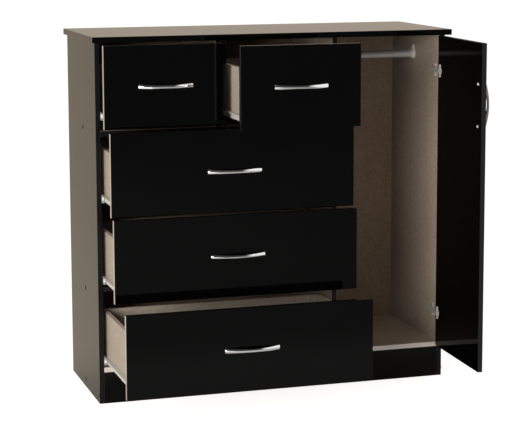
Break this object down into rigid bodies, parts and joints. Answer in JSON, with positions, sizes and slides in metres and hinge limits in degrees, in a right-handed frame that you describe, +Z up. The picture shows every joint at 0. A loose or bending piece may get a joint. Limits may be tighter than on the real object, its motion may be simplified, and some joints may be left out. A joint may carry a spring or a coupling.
{
  "type": "low wardrobe",
  "caption": "Low wardrobe with small and wide drawers on roller runners beside a hanging space with a rail behind one hinged door.",
  "frame": {"origin": "on the floor, at the middle of the carcass front, on the lower front edge of the plinth board", "axes": "+X to the right along the front, +Y towards the back, +Z up"},
  "size_m": [1.158, 0.7973, 1.13],
  "materials": {
    "gloss_board": "chipboard with black high gloss foil outside, taupe textured foil inside and pale edge band",
    "textured_board": "chipboard with taupe linen textured foil",
    "hardboard": "thin fibreboard with taupe linen print on one face",
    "white_steel": "white powder coated sheet steel",
    "white_plastic": "moulded white nylon",
    "zinc_steel": "zinc plated",
    "nickel_steel": "nickel plated pressed steel",
    "chromed_tube": "chromed thin wall tube",
    "chromed_handle": "polished chrome on die cast metal",
    "cap_plastic": "dark plastic cap over a steel screw",
    "beech_dowel": "plain beech"
  },
  "bodies": {
    "carcass": {"top_panel": "gloss_board", "left_side_panel": "gloss_board", "right_side_panel": "gloss_board", "centre_divider": "textured_board", "top_row_partition": "textured_board", "drawer_shelf": "textured_board", "lower_stretcher": "textured_board", "base_panel": "textured_board", "plinth_front": "gloss_board", "plinth_brace": "textured_board", "back_panel_left": "hardboard", "back_panel_right": "hardboard", "back_joint_strip": "white_plastic", "back_nails": "zinc_steel", "side_screws_and_caps": "cap_plastic", "cam_locks": "zinc_steel", "base_dowels": "beech_dowel", "cabinet_runners": "white_steel", "cabinet_rollers": "white_plastic", "hinge_arms": "nickel_steel", "hanging_rail": "chromed_tube", "rail_brackets": "nickel_steel"},
    "door": {"door_panel": "gloss_board", "door_handle": "chromed_handle", "hinge_cups": "nickel_steel"},
    "top_left_drawer": {"top_left_drawer_front": "gloss_board", "top_left_drawer_left_side": "textured_board", "top_left_drawer_right_side": "textured_board", "top_left_drawer_back": "textured_board", "top_left_drawer_bottom": "hardboard", "top_left_drawer_runners": "white_steel", "top_left_drawer_handle": "chromed_handle"},
    "top_right_drawer": {"top_right_drawer_front": "gloss_board", "top_right_drawer_left_side": "textured_board", "top_right_drawer_right_side": "textured_board", "top_right_drawer_back": "textured_board", "top_right_drawer_bottom": "hardboard", "top_right_drawer_runners": "white_steel", "top_right_drawer_handle": "chromed_handle"},
    "upper_drawer": {"upper_drawer_front": "gloss_board", "upper_drawer_left_side": "textured_board", "upper_drawer_right_side": "textured_board", "upper_drawer_back": "textured_board", "upper_drawer_bottom": "hardboard", "upper_drawer_runners": "white_steel", "upper_drawer_handle": "chromed_handle"},
    "middle_drawer": {"middle_drawer_front": "gloss_board", "middle_drawer_left_side": "textured_board", "middle_drawer_right_side": "textured_board", "middle_drawer_back": "textured_board", "middle_drawer_bottom": "hardboard", "middle_drawer_runners": "white_steel", "middle_drawer_handle": "chromed_handle"},
    "bottom_drawer": {"bottom_drawer_front": "gloss_board", "bottom_drawer_left_side": "textured_board", "bottom_drawer_right_side": "textured_board", "bottom_drawer_back": "textured_board", "bottom_drawer_bottom": "hardboard", "bottom_drawer_runners": "white_steel", "bottom_drawer_handle": "chromed_handle"}
  },
  "joints": [
    {"name": "top_left_drawer_slide", "type": "slide", "parent": "carcass", "child": "top_left_drawer", "axis": [0, -1, 0], "range_m": [-0.08103, 0.28397]},
    {"name": "top_right_drawer_slide", "type": "slide", "parent": "carcass", "child": "top_right_drawer", "axis": [0, -1, 0], "range_m": [-0.22082, 0.14417]},
    {"name": "upper_drawer_slide", "type": "slide", "parent": "carcass", "child": "upper_drawer", "axis": [0, -1, 0], "range_m": [-0.16096, 0.20403]},
    {"name": "middle_drawer_slide", "type": "slide", "parent": "carcass", "child": "middle_drawer", "axis": [0, -1, 0], "range_m": [-0.19162, 0.17338]},
    {"name": "bottom_drawer_slide", "type": "slide", "parent": "carcass", "child": "bottom_drawer", "axis": [0, -1, 0], "range_m": [-0.33434, 0.03066]},
    {"name": "door_hinge", "type": "hinge", "parent": "carcass", "child": "door", "pos_m": [0.55325, -0.0128, 0.6], "axis": [0, 0, 1], "range_deg": [-88, 7]}
  ]
}
